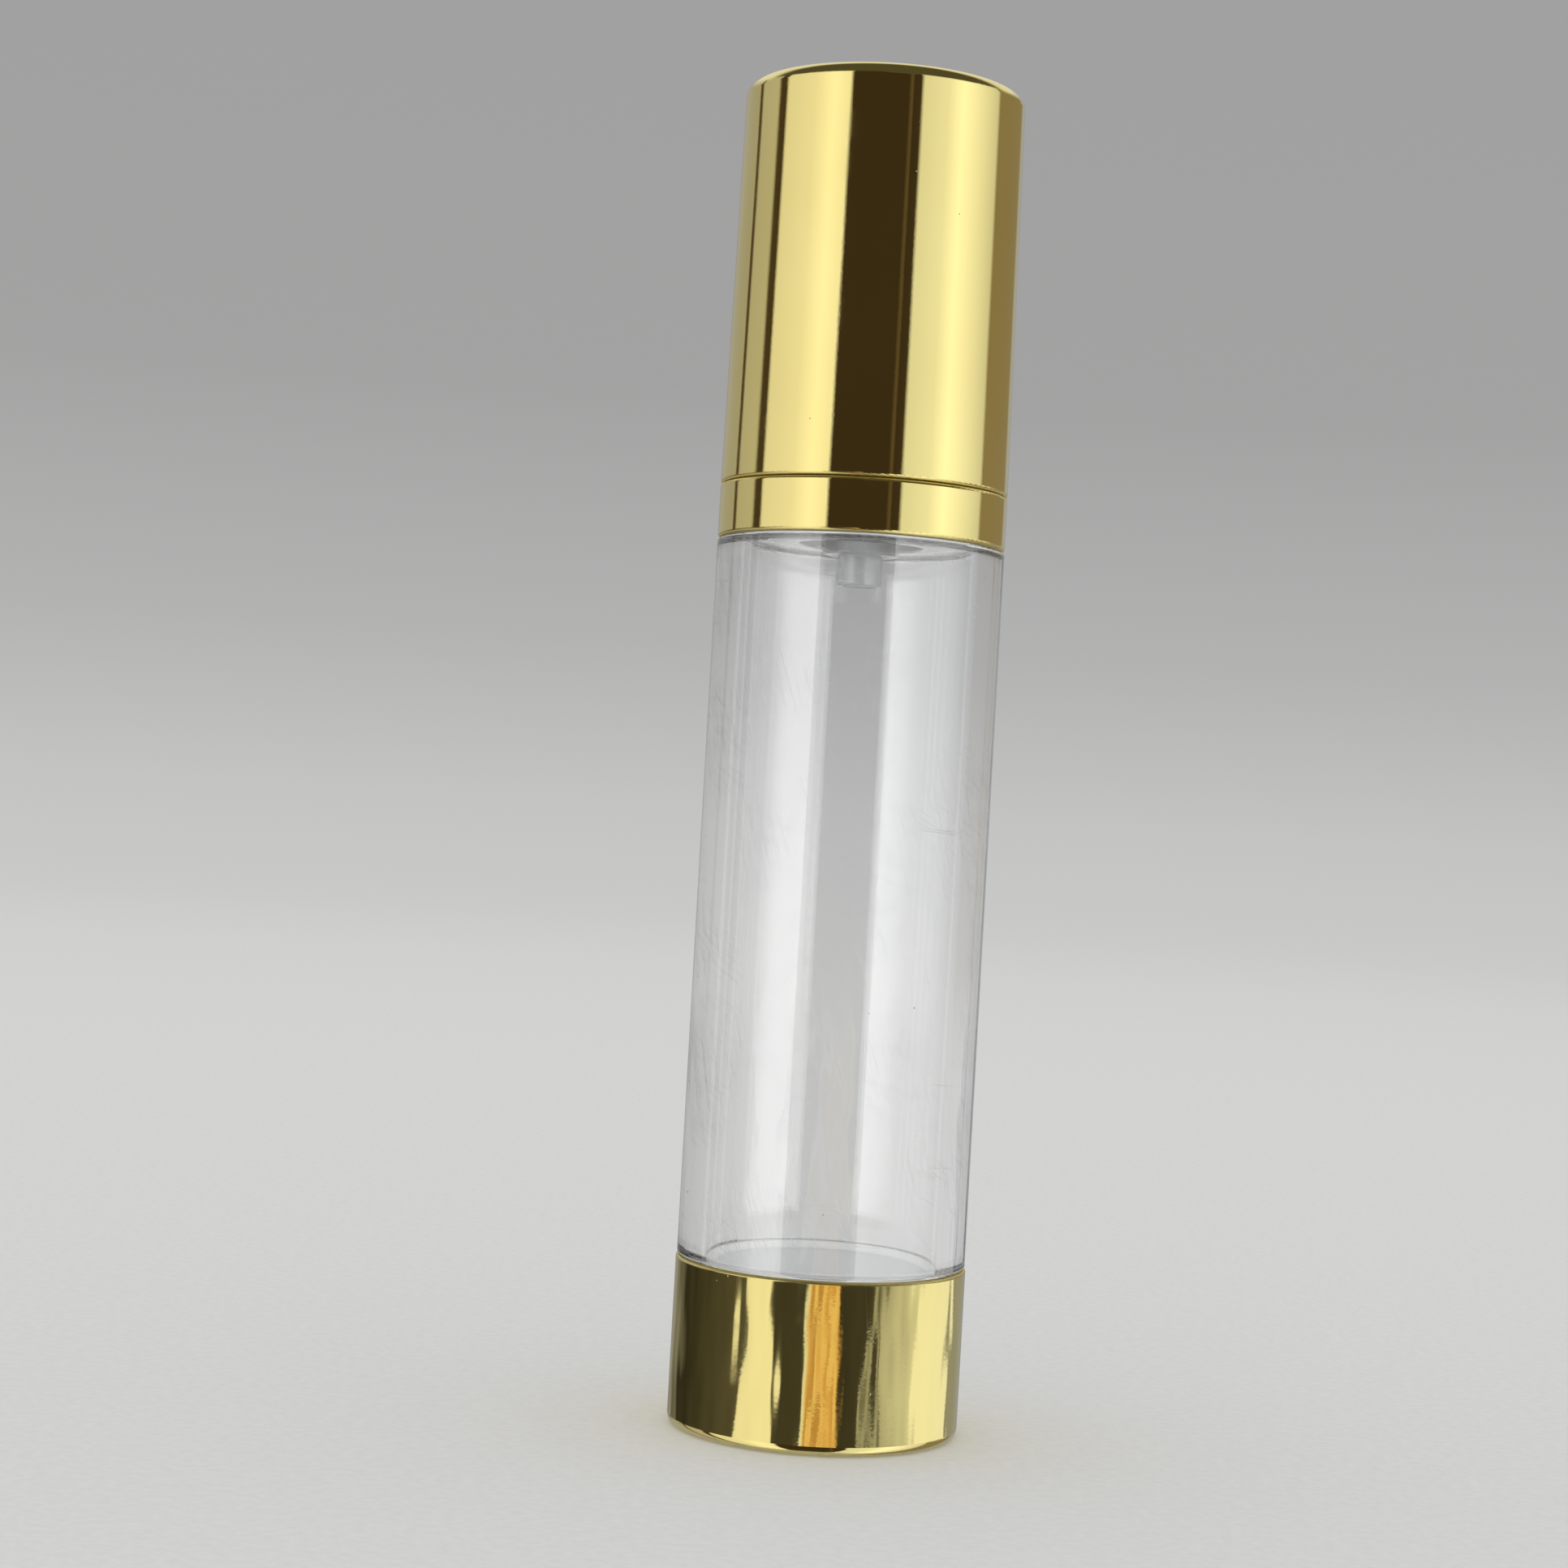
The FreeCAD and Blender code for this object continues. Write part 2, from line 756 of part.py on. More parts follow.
def make_actuator_shell():
    z_ceiling_here = z_actuator_top - actuator_top - actuator_dish
    skirt = turned([
        (shell_inner_radius, z_actuator_foot, actuator_skirt_round),
        (actuator_radius, z_actuator_foot, actuator_skirt_round),
        (actuator_radius, z_actuator_top, actuator_round),
        (0, z_actuator_top),
        (0, z_ceiling_here),
        (shell_inner_radius, z_ceiling_here, actuator_skirt_round),
    ])
    dish_radius = actuator_radius - 2 * actuator_round
    ball_size = (dish_radius ** 2 + actuator_dish ** 2) / (2 * actuator_dish)
    dish = Part.makeSphere(ball_size, at(0, z_actuator_top - actuator_dish + ball_size))
    window = rod(spout_radius + spout_window_gap, 0, actuator_radius * 2, z_spout)
    return skirt.cut([dish, window])


def make_nozzle():
    depth = nozzle_depth - socket_end_gap
    length = depth + nozzle_proud
    cup_radius = nozzle_radius - nozzle_cup_wall
    cup = turned([
        (cup_radius, 0),
        (nozzle_radius, 0),
        (nozzle_radius, length, nozzle_round),
        (orifice_radius + orifice_flare, length),
        (orifice_radius, length - orifice_flare),
        (orifice_radius, nozzle_cup_depth),
        (cup_radius, nozzle_cup_depth),
    ])
    cup.rotate(FreeCAD.Vector(0, 0, 0), FreeCAD.Vector(1, 0, 0), 90)
    cup.translate(FreeCAD.Vector(0, depth - spout_end(), z_spout))
    return cup


def cap_radius_at(radius_at_seam, height):
    return radius_at_seam - cap_slope_share * (height - z_seam)


def make_overcap():
    z_inner_roof = z_cap_top - cap_roof
    return turned([
        (cap_inner_radius, z_seam, cap_mouth_round),
        (body_radius, z_seam, cap_mouth_round),
        (cap_radius_at(body_radius, z_cap_top), z_cap_top, cap_edge_round),
        (0, z_cap_top),
        (0, z_inner_roof),
        (cap_radius_at(cap_inner_radius, z_inner_roof), z_inner_roof, cap_inner_round),
    ])


def make_liner():
    z_mouth = z_seam + liner_mouth_gap
    z_outer_roof = z_liner_roof + liner_roof
    cup = turned([
        (cap_radius_at(liner_inner_radius, z_mouth), z_mouth),
        (cap_radius_at(liner_radius, z_mouth), z_mouth),
        (cap_radius_at(liner_radius, z_outer_roof), z_outer_roof, cap_inner_round + liner_fit),
        (0, z_outer_roof),
        (0, z_liner_roof),
        (cap_radius_at(liner_inner_radius, z_liner_roof), z_liner_roof, liner_round),
    ])
    z_rib_foot = z_seam + liner_rib_start
    z_rib_top = z_rib_foot + liner_rib_length
    rib_end = cap_radius_at(liner_inner_radius, z_rib_top) + liner_wall / 2
    rib = bar(liner_rib_radius, rib_end, liner_rib_width, z_rib_foot, z_rib_top)
    bore = Part.makeCylinder(liner_rib_radius, z_rib_top - z_rib_foot, at(0, z_rib_foot))
    return joined(cup, spread(rib.cut(bore), liner_rib_count, liner_rib_turn))


nodes = {
    "base_cup": make_base_cup,
    "bottle_body": make_body,
    "follower_piston": make_follower,
    "collar": make_collar,
    "pump_closure": make_closure,
    "neck_gasket": make_gasket,
    "pump_housing": make_housing,
    "inlet_ball": make_ball,
    "return_spring": make_spring,
    "stem_core": make_stem_core,
    "stem": make_stem,
    "piston_seal": make_seal,
    "housing_cap": make_housing_cap,
    "actuator_core": make_actuator_core,
    "actuator_shell": make_actuator_shell,
    "nozzle_insert": make_nozzle,
    "overcap": make_overcap,
    "overcap_liner": make_liner,
}

os.makedirs("parts", exist_ok=True)
for name, maker in nodes.items():
    shape = maker()
    if shape.ShapeType == "Compound" and len(shape.Solids) == 1:
        shape = shape.Solids[0]
    shape.exportStep("parts/" + name + ".step")
    box = shape.BoundBox
    print(name, "solids", len(shape.Solids), "valid", shape.isValid(), "volume", round(shape.Volume, 1),
          "z", round(box.ZMin, 2), round(box.ZMax, 2), "across", round(box.XLength, 2), round(box.YLength, 2))
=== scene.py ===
import math

import bpy
from mathutils import Matrix, Vector


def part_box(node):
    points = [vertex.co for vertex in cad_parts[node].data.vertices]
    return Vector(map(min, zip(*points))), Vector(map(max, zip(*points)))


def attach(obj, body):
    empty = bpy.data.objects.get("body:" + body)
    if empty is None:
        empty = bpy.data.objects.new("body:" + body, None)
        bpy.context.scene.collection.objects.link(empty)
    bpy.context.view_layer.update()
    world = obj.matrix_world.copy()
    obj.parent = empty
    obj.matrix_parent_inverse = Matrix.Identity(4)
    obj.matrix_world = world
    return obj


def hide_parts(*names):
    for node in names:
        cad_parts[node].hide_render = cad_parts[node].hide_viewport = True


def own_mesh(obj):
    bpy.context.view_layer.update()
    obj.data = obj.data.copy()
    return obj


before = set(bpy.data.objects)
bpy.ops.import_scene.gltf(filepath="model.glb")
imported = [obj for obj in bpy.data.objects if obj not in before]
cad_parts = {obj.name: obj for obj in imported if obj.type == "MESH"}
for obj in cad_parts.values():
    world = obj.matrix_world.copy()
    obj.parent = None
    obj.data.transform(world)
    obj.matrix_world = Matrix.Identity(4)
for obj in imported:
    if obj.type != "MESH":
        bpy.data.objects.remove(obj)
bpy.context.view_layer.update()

MM = 0.001
BARREL_RADIUS = 14.5 * MM
SEAMS = (94.41 * MM, 88.98 * MM, 16.82 * MM)  # cap on collar, collar on barrel, barrel on base
BOUNCES = 32  # with Blender's own 12, the thick clear wall shows black wedges

scene = bpy.context.scene
scene.view_settings.view_transform = "Standard"
for limit in ("max_bounces", "glossy_bounces", "transmission_bounces"):
    setattr(scene.cycles, limit, BOUNCES)


class Shade:
    """The node tree of one material or world, with short calls for the nodes it needs."""

    def __init__(self, owner):
        owner.use_nodes = True
        self.owner = owner
        self.tree = owner.node_tree
        self.tree.nodes.clear()

    def put(self, socket, value):
        if isinstance(value, bpy.types.NodeSocket):
            self.tree.links.new(value, socket)
        elif socket.type == "RGBA":
            socket.default_value = (*value, 1.0)
        else:
            socket.default_value = value

    def node(self, kind, inputs=None, **settings):
        made = self.tree.nodes.new("ShaderNode" + kind)
        for key, value in settings.items():
            setattr(made, key, value)
        for key, value in (inputs or {}).items():
            self.put(made.inputs[key], value)
        return made

    def math(self, operation, *values):
        made = self.node("Math", operation=operation)
        for socket, value in zip(made.inputs, values):
            self.put(socket, value)
        return made.outputs[0]

    def total(self, first, *others):
        for other in others:
            first = self.math("ADD", first, other)
        return first

    def remap(self, value, low, high, to_low=0.0, to_high=1.0):
        limits = {"Value": value, "From Min": low, "From Max": high, "To Min": to_low, "To Max": to_high}
        return self.node("MapRange", limits, interpolation_type="SMOOTHSTEP").outputs["Result"]

    def mix(self, factor, first, second):
        made = self.node("Mix", {0: factor, 6: first, 7: second}, data_type="RGBA")
        return made.outputs[2]

    def ramp(self, value, stops):
        made = self.node("ValToRGB", {"Fac": value})
        points = made.color_ramp.elements
        while len(points) < len(stops):
            points.new(1.0)
        for point, (position, colour) in zip(points, stops):
            point.position = position
            point.color = (*colour, 1.0)
        return made.outputs["Color"]

    def place(self):
        return self.node("TexCoord").outputs["Object"]

    def parts(self, vector):
        return self.node("SeparateXYZ", {0: vector}).outputs

    def level(self, vector):
        """The vector without its height."""
        return self.node("VectorMath", {0: vector, 1: (1.0, 1.0, 0.0)}, operation="MULTIPLY").outputs[0]

    def length(self, vector):
        return self.node("VectorMath", {0: vector}, operation="LENGTH").outputs["Value"]

    def noise(self, vector, scale, detail=2.0, roughness=0.5):
        inputs = {"Vector": vector, "Scale": scale, "Detail": detail, "Roughness": roughness}
        return self.node("TexNoise", inputs).outputs["Fac"]

    def unrolled(self, vector, radius):
        """The skin of an upright cylinder as a flat sheet: arc length across, height up."""
        x, y, z = self.parts(vector)
        across = self.math("MULTIPLY", self.math("ARCTAN2", x, y), radius)
        return self.node("CombineXYZ", {"X": across, "Y": z}).outputs[0]

    def hairlines(self, sheet, turn, length, width, share):
        """Long thin marks over a sheet, 1 on a mark; share is how much of the sheet they take."""
        turned = self.node("Mapping", {
            "Vector": sheet,
            "Rotation": (0.0, 0.0, math.radians(turn)),
            "Scale": (length, width, 1.0),
        }, vector_type="TEXTURE")
        field = self.noise(turned.outputs[0], 1.0, 1.0)
        return self.remap(field, 0.76 - share, 0.80 - share)

    def specks(self, vector, scale, size, share):
        """Scattered dots, 1 on a dot; share is the part of the cells that hold one."""
        cells = self.node("TexVoronoi", {"Vector": vector, "Scale": scale})
        dot = self.remap(cells.outputs["Distance"], size, 0.6 * size)
        chance = self.parts(cells.outputs["Color"])[0]
        return self.math("MULTIPLY", dot, self.math("GREATER_THAN", chance, 1.0 - share))

    def bump(self, height, depth, under=None):
        inputs = {"Height": height, "Distance": depth, "Strength": 1.0}
        if under:
            inputs["Normal"] = under
        return self.node("Bump", inputs).outputs[0]

    def surface(self, **inputs):
        named = {key.replace("_", " ").title().replace("Ior", "IOR"): value for key, value in inputs.items()}
        shader = self.node("BsdfPrincipled", named)
        self.node("OutputMaterial", {"Surface": shader.outputs[0]})
        return self.owner


# Studio: two tall soft boxes with a dark gap where the camera stands, in pale surroundings

def turn_stops(profile, dark_tint):
    """Ramp stops from (degrees from the camera's side, level or colour): a level is warmer left than right."""
    warm, cool = (1.0, 0.985, 0.95), (0.98, 1.0, 1.02)
    stops = []
    for degrees, level in profile:
        if not isinstance(level, tuple):
            tint = dark_tint if level < 0.2 else warm if degrees < 0 else cool
            level = tuple(level * channel for channel in tint)
        stops.append(((degrees + 180) / 360, level))
    return stops


def make_world():
    """What the gold mirrors (studio), what stands behind the object (wall), and the light on matt surfaces (soft)."""
    world = bpy.data.worlds.new("studio")
    scene.world = world
    world.cycles.sampling_method = "NONE"
    s = Shade(world)
    ahead = s.node("TexCoord").outputs["Generated"]
    x, y, z = s.parts(ahead)
    turn = s.math("ARCTAN2", x, s.math("MULTIPLY", y, -1.0))
    share = s.math("MULTIPLY_ADD", turn, 0.5 / math.pi, 0.5)
    strained = s.node("VectorMath", {0: ahead, 1: (7.0, 7.0, 45.0)}, operation="MULTIPLY").outputs[0]
    ragged = s.math("MULTIPLY_ADD", s.noise(strained, 1.0, 0.5), 0.11, -0.055)
    tan = (0.264, 0.218, 0.150)
    orange, rust, straw = (0.76, 0.46, 0.18), (0.46, 0.24, 0.08), (0.90, 0.66, 0.32)
    boxes = s.ramp(share, turn_stops([
        (-180, 0.34), (-166, 0.34), (-160, 0.40), (-129, 0.38), (-127, 0.42), (-125, 0.08), (-122, 0.08),
        (-120, 0.46), (-99, 0.50), (-96, 0.07), (-90, 0.06), (-87, 0.80), (-60, 0.92), (-43, 1.16),
        (-29, 1.02), (-27.5, 0.045), (19, 0.045), (20.5, 0.16), (22, 0.045), (28.5, 0.05), (30.5, 0.82),
        (52, 0.95), (66, 1.25), (78, 1.08), (105, 0.70), (108, tan), (150, tan), (156, 0.40), (162, 0.40),
        (168, 0.34), (180, 0.34),
    ], (1.0, 0.70, 0.42)))
    table = s.ramp(s.math("ADD", share, ragged), turn_stops([
        (-180, 0.30), (-160, 0.30), (-130, 0.03), (-62, 0.09), (-60, 0.90), (-34, 1.02), (-32, 0.05),
        (-13, 0.06), (-11, 0.85), (-7, 0.80), (-4, orange), (1, rust), (3, straw),
        (7, orange), (11, (0.60, 0.32, 0.11)), (13, straw), (17, orange), (19, 0.04), (42, 0.06), (44, 0.40),
        (47, 0.35), (49, 0.09), (53, 0.45), (84, 0.72), (88, 1.00), (126, 0.95), (132, 0.30), (160, 0.34),
        (180, 0.30),
    ], (1.0, 0.93, 0.74)))
    low = s.math("MULTIPLY", s.remap(z, -0.045, -0.085), s.remap(z, -0.32, -0.235))
    ceiling = s.math("MULTIPLY", s.remap(z, 0.38, 0.46), s.remap(y, 0.45, 0.15))
    behind = s.math("MULTIPLY", s.remap(z, 0.30, 0.50), s.remap(y, 0.25, 0.50))
    under = s.remap(z, -0.88, -0.98)
    studio = s.mix(low, boxes, table)
    studio = s.mix(ceiling, studio, (0.085, 0.078, 0.055))
    studio = s.mix(behind, studio, (0.80, 0.80, 0.79))
    studio = s.mix(under, studio, (0.42, 0.42, 0.41))
    wall = s.ramp(s.math("MULTIPLY_ADD", z, 0.5, 0.5), [
        (0.47, (0.61, 0.61, 0.60)), (0.50, (0.55, 0.55, 0.545)), (0.528, (0.448, 0.448, 0.445)),
        (0.57, (0.362, 0.362, 0.36)), (0.68, (0.350, 0.350, 0.350)), (0.80, (0.95, 0.95, 0.95)),
    ])
    soft = s.ramp(z, [(0.0, (0.72, 0.72, 0.72)), (1.0, (1.15, 1.15, 1.14))])
    rays = s.node("LightPath").outputs
    straight = s.math("MAXIMUM", rays["Is Camera Ray"], rays["Is Transmission Ray"])
    seen = s.mix(straight, studio, wall)
    scattered = s.math("MINIMUM", rays["Diffuse Depth"], 1.0)
    inside = s.math("MULTIPLY", scattered, s.math("MINIMUM", rays["Transmission Depth"], 1.0))
    level = s.math("MULTIPLY_ADD", inside, 0.45, 1.0)  # makes up for what the clear wall takes
    shade = s.node("Background", {"Color": s.mix(scattered, seen, soft), "Strength": level})
    s.node("OutputWorld", {"Surface": shade.outputs[0]})


def make_floor():
    """A pale sheet that fades out with distance and can't be seen from below."""
    bpy.ops.mesh.primitive_circle_add(vertices=128, radius=3.0, fill_type="TRIFAN", location=(0, 0, -0.05 * MM))
    floor = bpy.context.object
    floor.name = "floor"
    floor.visible_glossy = False
    floor.visible_transmission = False
    material = bpy.data.materials.new("floor")
    s = Shade(material)
    place = s.place()
    away = s.length(place)
    grain = s.noise(place, 900.0, 4.0)
    paper = s.ramp(grain, [(0.35, (0.63, 0.63, 0.625)), (0.65, (0.66, 0.66, 0.655))])
    shade = s.node("BsdfDiffuse", {"Color": paper})
    clear = s.node("BsdfTransparent")
    under = s.node("NewGeometry").outputs["Backfacing"]
    gone = s.math("MAXIMUM", s.remap(away, 0.25, 1.6), under)
    fade = s.node("MixShader", {0: gone, 1: shade.outputs[0], 2: clear.outputs[0]})
    s.node("OutputMaterial", {"Surface": fade.outputs[0]})
    floor.data.materials.append(material)


def make_soft_box(name, profile, group):
    """A tall soft box that only the pieces in group mirror; profile is (degrees from the camera's side, radiance).
    It can't be seen straight through the barrel, matt pieces inside get a part of its light, and so do rays that
    turn round inside the wall, which would otherwise make the barrel's edges blank white."""
    away = 0.6
    tall = 1.3
    matt_part = 0.28
    wall_part = 0.2
    first, last = math.radians(profile[0][0]), math.radians(profile[-1][0])
    half = (last - first) / 2
    middle = (last + first) / 2
    most = max(radiance for degrees, radiance in profile)
    data = bpy.data.lights.new(name, "AREA")
    data.shape = "RECTANGLE"
    data.size = 2 * away * math.tan(half)
    data.size_y = tall
    data.energy = most * math.pi * data.size * data.size_y
    s = Shade(data)
    across, up, _ = s.parts(s.node("NewGeometry").outputs["Parametric"])
    stops = []
    for degrees, radiance in profile:
        position = 0.5 + 0.5 * math.tan(math.radians(degrees) - middle) / math.tan(half)
        stops.append((position, (radiance / most,) * 3))
    rays = s.node("LightPath").outputs
    turned = s.math("COMPARE", rays["Transmission Depth"], 2.0, 0.5)
    mirrored = s.math("MINIMUM", rays["Glossy Depth"], s.remap(turned, 0.0, 1.0, 1.0, wall_part))
    scattered = s.math("MINIMUM", rays["Diffuse Depth"], 1.0)
    share = s.math("MAXIMUM", s.math("SUBTRACT", mirrored, scattered), s.math("MULTIPLY", scattered, matt_part))
    strength = s.math("MULTIPLY", s.remap(up, 0.25, 0.65, 0.75, 1.0), share)
    shade = s.node("Emission", {"Color": s.ramp(across, stops), "Strength": strength})
    s.node("OutputLight", {"Surface": shade.outputs[0]})
    lamp = bpy.data.objects.new(name, data)
    scene.collection.objects.link(lamp)
    lamp.location = (away * math.sin(middle), -away * math.cos(middle), 0.1)
    lamp.rotation_euler = (math.pi / 2, 0.0, middle)
    lamp.visible_camera = False
    lamp.light_linking.receiver_collection = group


def make_camera():
    """The photo's view: level with the barrel, leaning a little."""
    data = bpy.data.cameras.new("camera")
    data.lens = 68.77
    data.sensor_width = 36.0
    camera = bpy.data.objects.new("camera", data)
    scene.collection.objects.link(camera)
    place = Vector((0.0, -302.6, 61.44)) * MM
    ahead = Vector((-0.02116, 1.0, 0.01006)).normalized()
    lean = math.radians(3.24)
    right = Vector((math.cos(lean), 0.0, math.sin(lean)))
    right = (right - ahead * right.dot(ahead)).normalized()
    up = right.cross(ahead)
    camera.matrix_world = Matrix.Translation(place) @ Matrix((right, up, -ahead)).transposed().to_4x4()
    scene.camera = camera


# Materials

def gold_finish():
    """Vacuum-metallised plastic: a near mirror with slow waves, wipe marks, finger smears and dust outside,
    duller at moulded edges, and the bare white plastic inside, where the metal vapour doesn't reach."""
    s = Shade(bpy.data.materials.new("metallised_gold"))
    spot = s.node("TexCoord").outputs
    place, normal = spot["Object"], spot["Normal"]
    sheet = s.unrolled(place, BARREL_RADIUS)
    z = s.parts(place)[2]
    tilt = s.parts(normal)[2]
    spoke = s.node("VectorMath", {0: s.level(place)}, operation="NORMALIZE").outputs[0]
    radius = s.length(s.level(place))
    outward = s.node("VectorMath", {0: spoke, 1: normal}, operation="DOT_PRODUCT").outputs["Value"]
    roof = s.math("MULTIPLY", s.math("LESS_THAN", tilt, -0.7), s.math("GREATER_THAN", z, 50 * MM))
    roof = s.math("MULTIPLY", roof, s.math("LESS_THAN", radius, 13.9 * MM))
    bed = s.math("MULTIPLY", s.math("GREATER_THAN", tilt, 0.7), s.math("LESS_THAN", z, 12 * MM))
    bare = s.math("MAXIMUM", s.remap(outward, -0.2, -0.4), s.math("MAXIMUM", roof, bed))

    drift = s.noise(place, 60.0, 2.0)
    colour = s.ramp(drift, [(0.3, (0.895, 0.760, 0.30)), (0.7, (0.925, 0.795, 0.33))])
    smear = s.remap(s.noise(place, 140.0, 5.0, 0.65), 0.52, 0.72)
    wipes = s.hairlines(sheet, 84.0, 40 * MM, 0.25 * MM, 0.04)
    dust = s.specks(place, 900.0, 0.075, 0.06)
    edges = 0.0
    for seam in SEAMS:
        away = s.math("ABSOLUTE", s.math("SUBTRACT", z, seam))
        edges = s.math("MAXIMUM", edges, s.remap(away, 0.34 * MM, 0.16 * MM))
    foot = s.math("MULTIPLY", s.remap(z, 0.8 * MM, 0.2 * MM), s.remap(s.noise(place, 900.0, 3.0), 0.42, 0.60))
    colour = s.mix(dust, colour, (0.86, 0.84, 0.78))
    colour = s.mix(foot, colour, (0.78, 0.68, 0.34))
    colour = s.mix(bare, colour, (0.80, 0.795, 0.77))
    roughness = s.total(
        s.math("MULTIPLY_ADD", smear, 0.05, 0.035),
        s.math("MULTIPLY", wipes, 0.05),
        s.math("MULTIPLY", dust, 0.5),
        s.math("MULTIPLY", foot, 0.25),
        s.math("MULTIPLY", edges, 0.35),
        s.math("MULTIPLY", bare, 0.38),
    )
    waves = s.bump(s.noise(place, 110.0, 1.0), 0.010 * MM)
    peel = s.bump(s.noise(place, 2600.0, 1.0), s.remap(drift, 0.40, 0.60, 0.0003 * MM, 0.0014 * MM), waves)
    return s.surface(
        base_color=colour, metallic=s.math("SUBTRACT", 1.0, bare), roughness=roughness,
        normal=s.bump(dust, 0.01 * MM, peel),
    )


def clear_finish():
    """Clear styrene: hairline scratches, rub marks, dust, and the slight waves of a moulded wall."""
    s = Shade(bpy.data.materials.new("clear_san"))
    place = s.place()
    sheet = s.unrolled(place, BARREL_RADIUS)
    steep = s.hairlines(sheet, 70.0, 16 * MM, 0.10 * MM, 0.09)
    slant = s.hairlines(sheet, 22.0, 9 * MM, 0.08 * MM, 0.07)
    ring = s.hairlines(sheet, 3.0, 26 * MM, 0.12 * MM, 0.03)
    patch = s.remap(s.noise(place, 90.0, 2.0), 0.46, 0.62)
    scratch = s.math("MULTIPLY", s.math("MAXIMUM", s.math("MAXIMUM", steep, slant), ring), patch)
    dust = s.specks(place, 520.0, 0.07, 0.05)
    haze = s.remap(s.noise(place, 130.0, 4.0, 0.6), 0.50, 0.75)
    colour = s.ramp(haze, [(0.0, (0.955, 0.960, 0.960)), (1.0, (0.935, 0.942, 0.945))])
    colour = s.mix(dust, colour, (0.8, 0.8, 0.79))
    roughness = s.total(
        s.math("MULTIPLY_ADD", haze, 0.012, 0.004),
        s.math("MULTIPLY", scratch, 0.22),
        s.math("MULTIPLY", dust, 0.6),
    )
    waves = s.bump(s.noise(place, 120.0, 1.0), 0.006 * MM)
    return s.surface(
        base_color=colour, transmission_weight=1.0, ior=1.57, roughness=roughness,
        normal=s.bump(s.math("MAXIMUM", scratch, dust), 0.004 * MM, waves),
    )


def moulded_finish(name, pale, deep, gloss, matt, **more):
    """Moulded plastic: slow colour drift, spark-eroded grain, rubbed patches and faint draw marks."""
    s = Shade(bpy.data.materials.new(name))
    place = s.place()
    drift = s.noise(place, 150.0, 3.0)
    rubbed = s.remap(s.noise(place, 420.0, 4.0, 0.6), 0.45, 0.65)
    drawn = s.hairlines(s.unrolled(place, 8 * MM), 90.0, 12 * MM, 0.15 * MM, 0.03)
    grain = s.noise(place, 7000.0, 2.0)
    roughness = s.total(s.remap(rubbed, 0.0, 1.0, matt, gloss), s.math("MULTIPLY", drawn, 0.06))
    normal = s.bump(drawn, 0.0015 * MM, s.bump(grain, 0.002 * MM))
    colour = s.ramp(drift, [(0.3, pale), (0.7, deep)])
    return s.surface(base_color=colour, roughness=roughness, normal=normal, **more)


def follower_finish():
    """Milky polyethylene with cloudy gloss and mould grain, all one colour in truth: a painted highlight makes the
    lip white and painted shade makes the thinner floor inside it greyer.
    """
    s = Shade(bpy.data.materials.new("follower_pe"))
    place = s.place()
    lip_radius = 10.75 * MM
    past_floor = s.remap(s.length(s.level(place)), lip_radius - 0.1 * MM, lip_radius + 0.1 * MM)
    cloud = s.noise(place, 260.0, 4.0, 0.6)
    # Painted shade: the floor inside the lip is coloured a darker grey than the same plastic at the lip.
    floor = s.ramp(cloud, [(0.35, (0.80, 0.805, 0.81)), (0.65, (0.83, 0.835, 0.84))])
    # Painted highlight: the lip is coloured near white, lighter than the floor of the same plastic.
    lit_lip = s.ramp(cloud, [(0.35, (0.94, 0.94, 0.94)), (0.65, (0.96, 0.96, 0.96))])
    colour = s.mix(past_floor, floor, lit_lip)
    roughness = s.remap(cloud, 0.35, 0.65, 0.30, 0.40)
    grain = s.noise(place, 6000.0, 2.0)
    return s.surface(base_color=colour, roughness=roughness, normal=s.bump(grain, 0.0006 * MM))


def foam_finish():
    """Closed-cell foam sheet: small round cells, pressed smooth in patches."""
    s = Shade(bpy.data.materials.new("gasket_foam"))
    place = s.place()
    cells = s.node("TexVoronoi", {"Vector": place, "Scale": 3600.0}).outputs["Distance"]
    pressed = s.remap(s.noise(place, 500.0, 3.0), 0.4, 0.6, 0.02 * MM, 0.06 * MM)
    colour = s.ramp(cells, [(0.1, (0.86, 0.86, 0.84)), (0.7, (0.74, 0.74, 0.71))])
    return s.surface(base_color=colour, roughness=s.remap(cells, 0.1, 0.7, 0.6, 0.85), normal=s.bump(cells, pressed))


def steel_finish():
    """Drawn stainless wire and ground ball: fine draw lines, oil smears, slight warm tint."""
    s = Shade(bpy.data.materials.new("steel"))
    place = s.place()
    lines = s.noise(place, 5200.0, 2.0)
    smear = s.remap(s.noise(place, 700.0, 4.0, 0.6), 0.45, 0.65)
    colour = s.ramp(smear, [(0.0, (0.66, 0.65, 0.63)), (1.0, (0.56, 0.55, 0.525))])
    roughness = s.total(s.remap(lines, 0.35, 0.65, 0.12, 0.22), s.math("MULTIPLY", smear, 0.10))
    return s.surface(base_color=colour, metallic=1.0, roughness=roughness, normal=s.bump(lines, 0.0008 * MM))
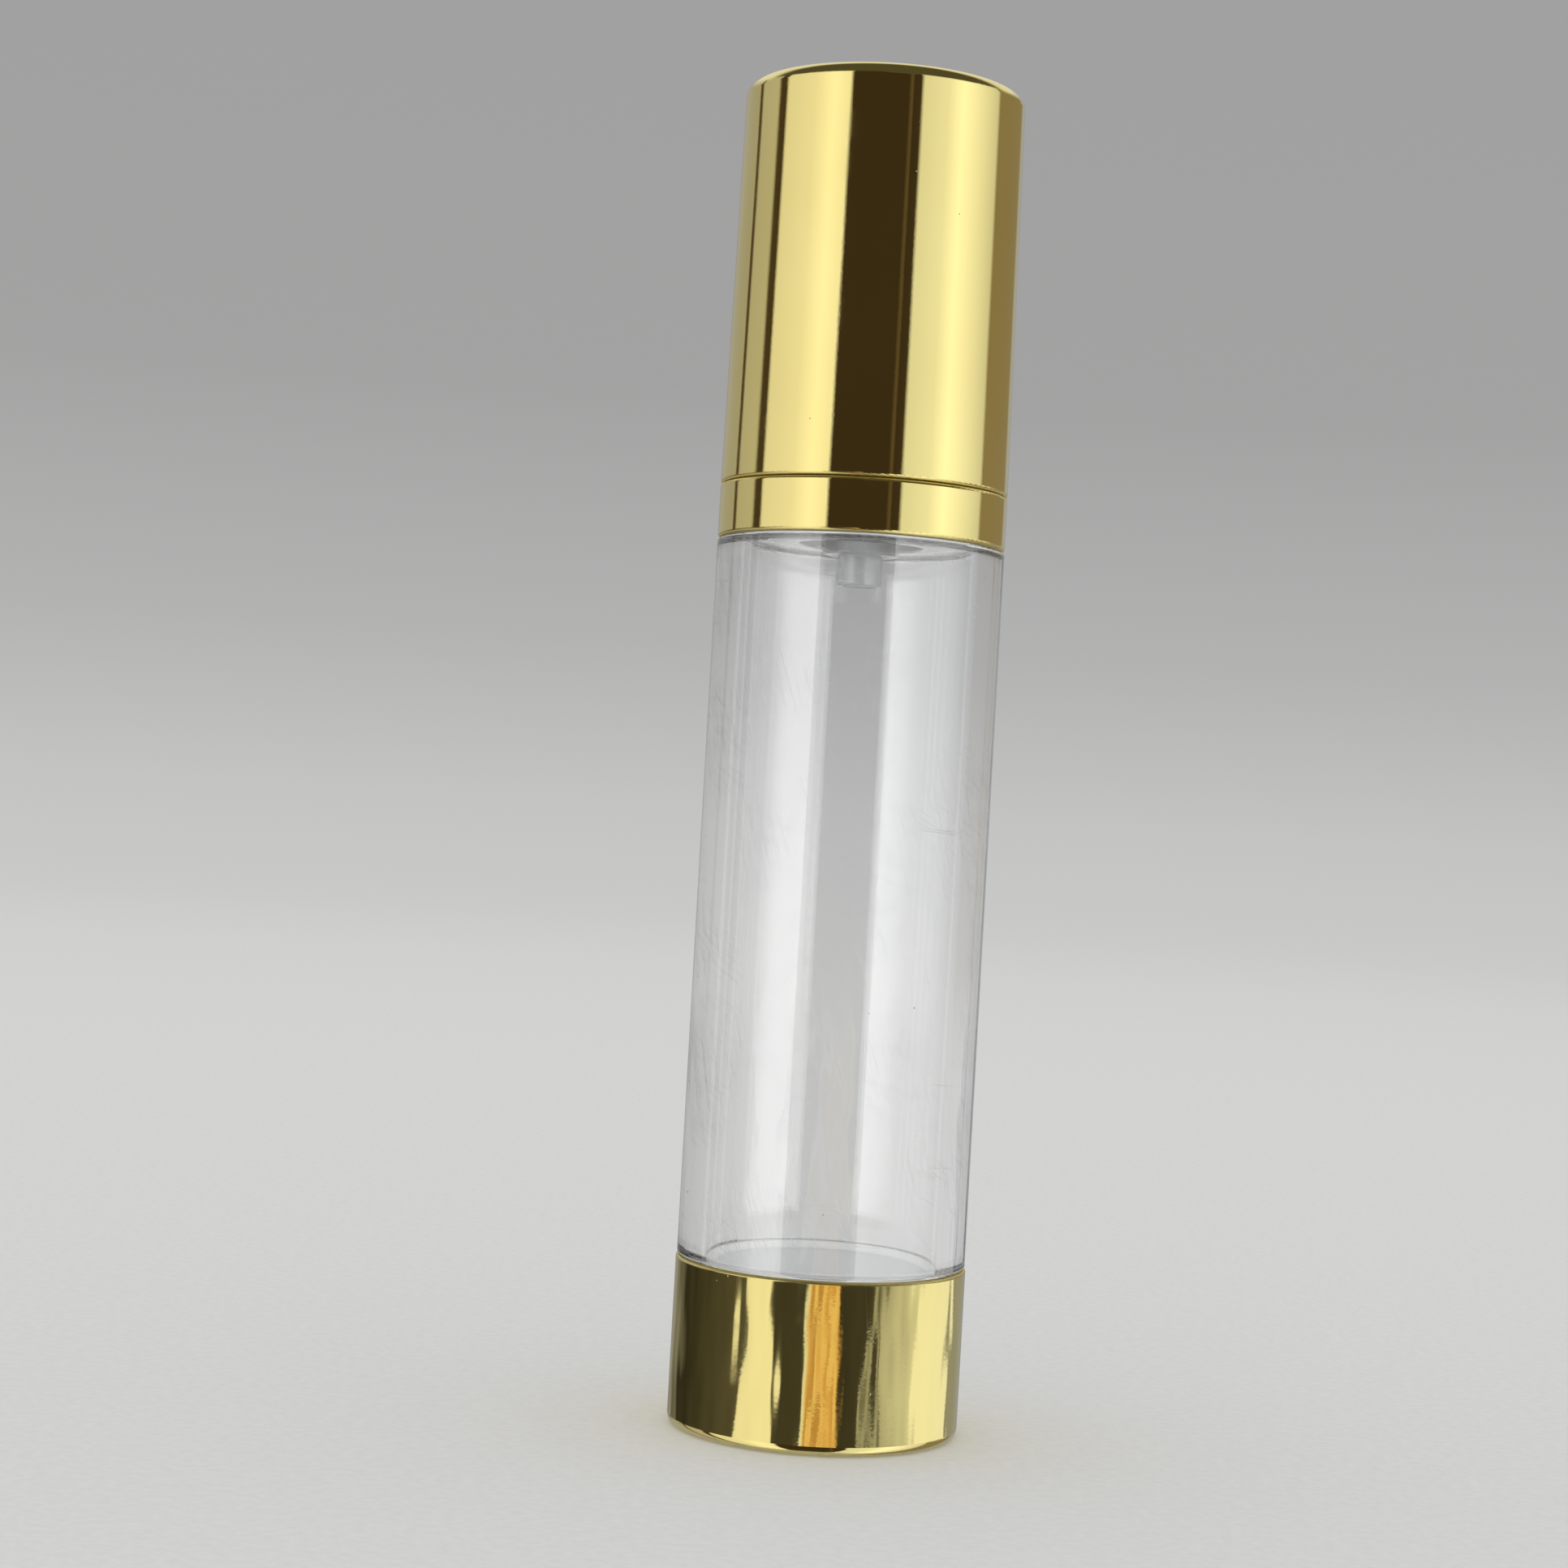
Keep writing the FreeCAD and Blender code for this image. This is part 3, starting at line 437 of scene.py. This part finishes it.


# The return spring: a round-wire helix in place of the CAD one

def make_spring(material):
    low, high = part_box("return_spring")
    wire = 0.25 * MM
    coil = (high[0] - low[0]) / 2 - wire
    turns = 7
    steps = 40 * turns
    sides = 16
    foot = low[2] + wire
    rise = high[2] - wire - foot
    pitch = rise / turns
    points = []
    faces = []
    for i in range(steps + 1):
        angle = 2 * math.pi * turns * i / steps
        out = Vector((math.cos(angle), math.sin(angle), 0.0))
        ahead = Vector((-coil * math.sin(angle), coil * math.cos(angle), pitch / (2 * math.pi))).normalized()
        side = out.cross(ahead)
        centre = out * coil + Vector((0.0, 0.0, foot + rise * i / steps))
        for k in range(sides):
            around = 2 * math.pi * k / sides
            points.append(centre + (out * math.cos(around) + side * math.sin(around)) * wire)
    for i in range(steps):
        for k in range(sides):
            a = i * sides + k
            b = i * sides + (k + 1) % sides
            faces.append((a, b, b + sides, a + sides))
    faces.append(tuple(range(sides - 1, -1, -1)))
    faces.append(tuple(range(steps * sides, (steps + 1) * sides)))
    mesh = bpy.data.meshes.new("spring_coil")
    mesh.from_pydata([tuple(p) for p in points], [], faces)
    mesh.polygons.foreach_set("use_smooth", [len(face) == 4 for face in faces])
    mesh.update()
    spring = bpy.data.objects.new("spring_coil", mesh)
    scene.collection.objects.link(spring)
    mesh.materials.append(material)
    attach(spring, "bottle")
    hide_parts("return_spring")
    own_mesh(spring)


# The object

gold = gold_finish()
clear = clear_finish()
milky = moulded_finish("milky_pe", (0.90, 0.905, 0.905), (0.86, 0.87, 0.875), 0.28, 0.42, subsurface_weight=0.4,
                       subsurface_radius=(1.0, 1.0, 1.0), subsurface_scale=1.2 * MM)
natural = moulded_finish("natural_pp", (0.96, 0.965, 0.965), (0.93, 0.94, 0.94), 0.04, 0.09, transmission_weight=0.7,
                         ior=1.49)
white = moulded_finish("white_pp", (0.83, 0.83, 0.82), (0.79, 0.79, 0.775), 0.34, 0.50)
foam = foam_finish()
steel = steel_finish()
finishes = {
    "base_cup": gold, "collar": gold, "overcap": gold, "actuator_shell": gold,
    "bottle_body": clear, "follower_piston": follower_finish(), "piston_seal": milky,
    "pump_housing": natural, "stem": natural,
    "housing_cap": white, "pump_closure": white, "actuator_core": white, "nozzle_insert": white,
    "overcap_liner": white, "stem_core": white,
    "neck_gasket": foam, "return_spring": steel, "inlet_ball": steel,
}
for name, finish in finishes.items():
    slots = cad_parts[name].data.materials
    slots.clear()
    slots.append(finish)
make_spring(steel)


# The stage

make_world()
make_floor()
make_camera()
barrel = bpy.data.collections.new("barrel_only")
barrel.objects.link(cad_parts["bottle_body"])
make_soft_box("soft_box_left", [
    (-110, 0.2), (-106, 1.0), (-104, 0.2), (-99, 0.3), (-97, 1.3), (-95, 0.3), (-90, 0.35), (-88, 1.4), (-86, 0.35),
    (-80, 0.5), (-69, 1.2), (-59, 2.4), (-42, 2.9), (-31, 3.1),
], barrel)
make_soft_box("soft_box_right", [
    (27, 3.0), (35, 2.7), (43, 2.2), (74, 2.1), (86, 1.2), (96, 0.35), (99, 1.3), (102, 0.2), (108, 0.2),
], barrel)
